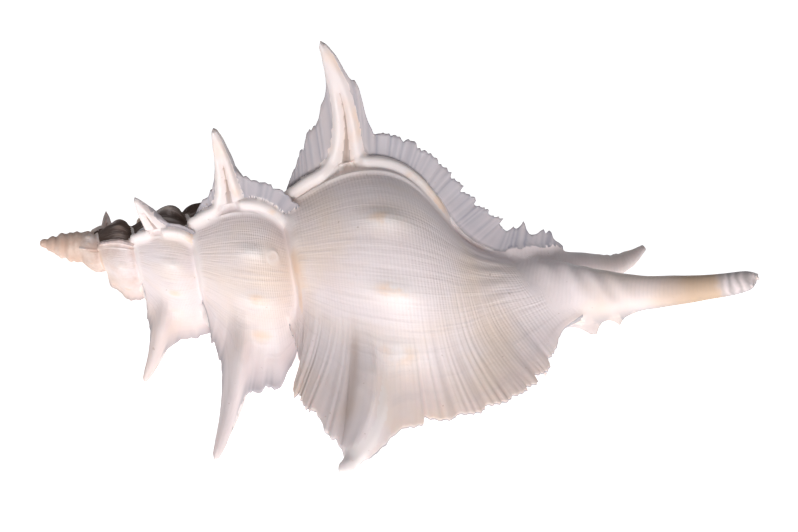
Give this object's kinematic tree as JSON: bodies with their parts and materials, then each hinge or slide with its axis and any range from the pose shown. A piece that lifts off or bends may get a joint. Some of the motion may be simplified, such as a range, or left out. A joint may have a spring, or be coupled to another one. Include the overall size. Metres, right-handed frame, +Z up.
{
  "type": "murex shell",
  "caption": "Spired marine snail shell with winged, spined varices in rows and a long curved siphonal canal.",
  "frame": {"origin": "centre of the bounding box at the level of the surface the shell rests on", "axes": "+X along the shell from the apex to the siphonal canal, +Z up, mouth facing down"},
  "size_m": [0.1578, 0.0938, 0.076],
  "materials": {
    "shell": "satin porcelain-like shell, warm white with cream, pink-grey and pale orange clouding"
  },
  "bodies": {
    "root": {"shell": "shell"}
  },
  "joints": []
}
